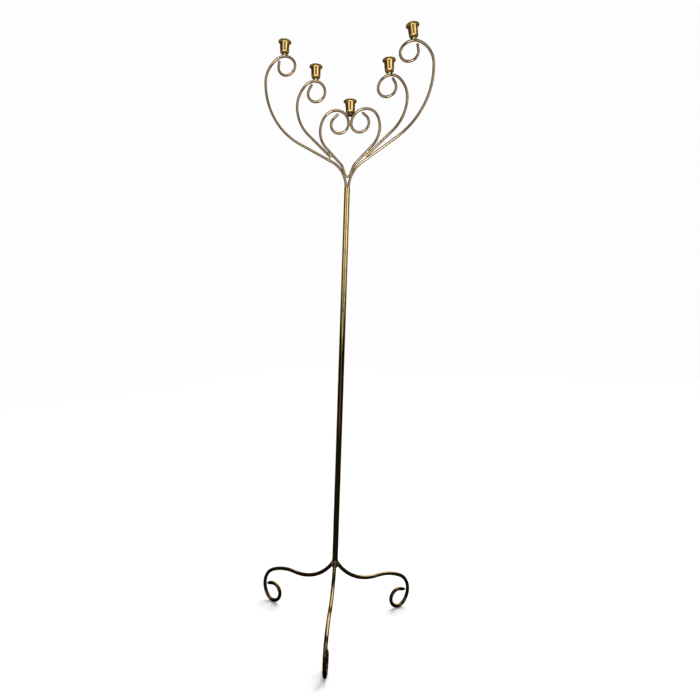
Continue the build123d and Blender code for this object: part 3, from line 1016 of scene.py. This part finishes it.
# %% The tie, and the collars under the cups
tie_overlap = 0.5 * MM
tie_steps_each_way = 6
tie_low, tie_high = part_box("throat_tie")
tie_middle = (tie_low + tie_high) / 2
tie_radius = (tie_high.z - tie_low.z) / 2
tie_reach = (tie_high.x - tie_low.x) / 2 + tie_overlap
tie_points = []
for i in range(2 * tie_steps_each_way + 1):
    tie_points.append(tie_middle + Vector((tie_reach * (i / tie_steps_each_way - 1), 0, 0)))
settle(bent_rod("throat_bar", tie_points, rod_brass, tie_radius), "throat_tie")

collar_sides = 24
collar_radius = 3.2 * MM
lobe_collar_radius = 6.0 * MM
collar_rings = ((1.0 * MM, 1.0), (2.6 * MM, 0.92), (4.2 * MM, 1.0))
for spot, base in cup_seat.items():
    wide = lobe_collar_radius if spot == "centre" else collar_radius
    metal = crevice_braze if spot == "centre" else braze_metal
    loops = []
    for depth, share in collar_rings:
        loop = []
        for i in range(collar_sides + 1):
            a = 2 * math.pi * i / collar_sides
            loop.append(base @ Vector((wide * share * math.cos(a), wide * share * math.sin(a), -depth)))
        loops.append(loop)
    collar = bead(f"{spot}_cup_bead", loops, metal, radius=1.8 * MM, pitch=1.5 * MM)
    settle(collar, f"cup_braze_{spot}")

# %% [markdown]
# One solid stays as it is: the steel spigot inside the tube, which nobody sees until the head is lifted
# off. It only needs a finish.

# %% Dress the spigot
spigot = frame["nodes"]["head_spigot"]
spigot.data.materials.clear()
spigot.data.materials.append(spigot_steel)
print("spigot dressed:", spigot.name)

# %% [markdown]
# ## Floor and light
# The photograph has a plain white ground. A pale floor and a white backdrop behind the stand give that
# without flooding the metal with light. The floor is one large face with a faint speckle, and takes a soft
# shadow under the feet.

# %% Floor
scene = bpy.context.scene
scene.view_settings.view_transform = "Standard"
floor_reach = 12.0
floor_speckle = 40.0
floor_roughness = 0.9
floor_gloss = 0.1
FLOOR_SHADE = (0.93, 0.93, 0.93, 1.0)
FLOOR_PALE = (0.95, 0.95, 0.95, 1.0)
floor_mesh = bpy.data.meshes.new("floor")
corners = [(-floor_reach, -floor_reach, 0), (floor_reach, -floor_reach, 0),
           (floor_reach, floor_reach, 0), (-floor_reach, floor_reach, 0)]
floor_mesh.from_pydata(corners, [], [(0, 1, 2, 3)])
floor = bpy.data.objects.new("floor", floor_mesh)
scene.collection.objects.link(floor)
floor_paint, tree, shader = new_finish("floor_paint")
speckle = grain(tree, put(tree, "ShaderNodeTexCoord").outputs["Object"], floor_speckle)
tree.links.new(mixed(tree, speckle, FLOOR_SHADE, FLOOR_PALE), shader.inputs["Base Color"])
shader.inputs["Roughness"].default_value = floor_roughness
shader.inputs["Specular IOR Level"].default_value = floor_gloss
floor_mesh.materials.append(floor_paint)
print("floor reaches", floor_reach, "m each way")

# %% [markdown]
# Polished metal shows whatever is round it: with white on all sides the thin rods would melt into the
# ground. So the backdrop is only as wide as the picture needs, and the walls beside it are dark. A studio
# would hang cloth for that. Here the world is shaded by its own direction, which costs no meshes.

# %% Walls and backdrop
WALL_LOW = (0.30, 0.295, 0.29, 1.0)
WALL_HIGH = (0.070, 0.066, 0.062, 1.0)
WALL_FRONT = (0.40, 0.395, 0.39, 1.0)
BACKDROP_WHITE = (0.985, 0.985, 0.985, 1.0)
backdrop_edge = math.cos(math.radians(46))
backdrop_softness = 0.10
WALL_RISE = (0.0, 0.42)
FRONT_RANGE = (-0.70, -0.85)
world = bpy.data.worlds.new("studio")
world.use_nodes = True
scene.world = world
tree = world.node_tree
direction = put(tree, "ShaderNodeTexCoord").outputs["Generated"]
toward = put(tree, "ShaderNodeSeparateXYZ", {0: direction}).outputs
shade = mixed(tree, spread(tree, toward["Z"], *WALL_RISE), WALL_LOW, WALL_HIGH)
ways = {0: direction, 1: ahead}
onward = put(tree, "ShaderNodeVectorMath", ways, operation="DOT_PRODUCT").outputs["Value"]
backdrop = spread(tree, onward, backdrop_edge - backdrop_softness, backdrop_edge)
shade = mixed(tree, backdrop, shade, BACKDROP_WHITE)
shade = mixed(tree, spread(tree, onward, *FRONT_RANGE), shade, WALL_FRONT)
tree.links.new(shade, tree.nodes["Background"].inputs["Color"])
print("the world has", len(tree.nodes), "nodes")

# %% [markdown]
# Two tall windows draw the two bright lines down the cups and the tube, and a low, soft lamp draws the line
# along the rods. A broad light from above and behind whitens the floor, and leaves the front of the metal
# alone.

# %% Lamps
head_middle = Vector((0.0, 0.0, 1.35))


def softbox(name, spot, width, height, power, beam_degrees=180.0):
    """A rectangular lamp aimed at the middle of the head."""
    lamp = bpy.data.lights.new(name, "AREA")
    lamp.shape = "RECTANGLE"
    lamp.size = width
    lamp.size_y = height
    lamp.energy = power
    lamp.spread = math.radians(beam_degrees)
    made = bpy.data.objects.new(name, lamp)
    made.location = spot
    made.rotation_euler = (head_middle - Vector(spot)).to_track_quat("-Z", "Y").to_euler()
    scene.collection.objects.link(made)


def sky_light(name, shines, width_degrees, strength):
    """A lamp so far away that the whole floor gets the same light."""
    lamp = bpy.data.lights.new(name, "SUN")
    lamp.angle = math.radians(width_degrees)
    lamp.energy = strength
    made = bpy.data.objects.new(name, lamp)
    made.rotation_euler = Vector(shines).to_track_quat("-Z", "Y").to_euler()
    scene.collection.objects.link(made)


sky_light("sky", shines=(-0.15, -0.75, -1.0), width_degrees=60.0, strength=3.35)
softbox("window_left", spot=(-0.68, -1.88, 1.7), width=0.7, height=2.4, power=12.0)
softbox("window_right", spot=(1.67, -1.10, 1.9), width=1.2, height=2.0, power=19.0)
softbox("fill", spot=(0.42, -1.80, 0.55), width=1.2, height=0.75, power=11.5, beam_degrees=90.0)
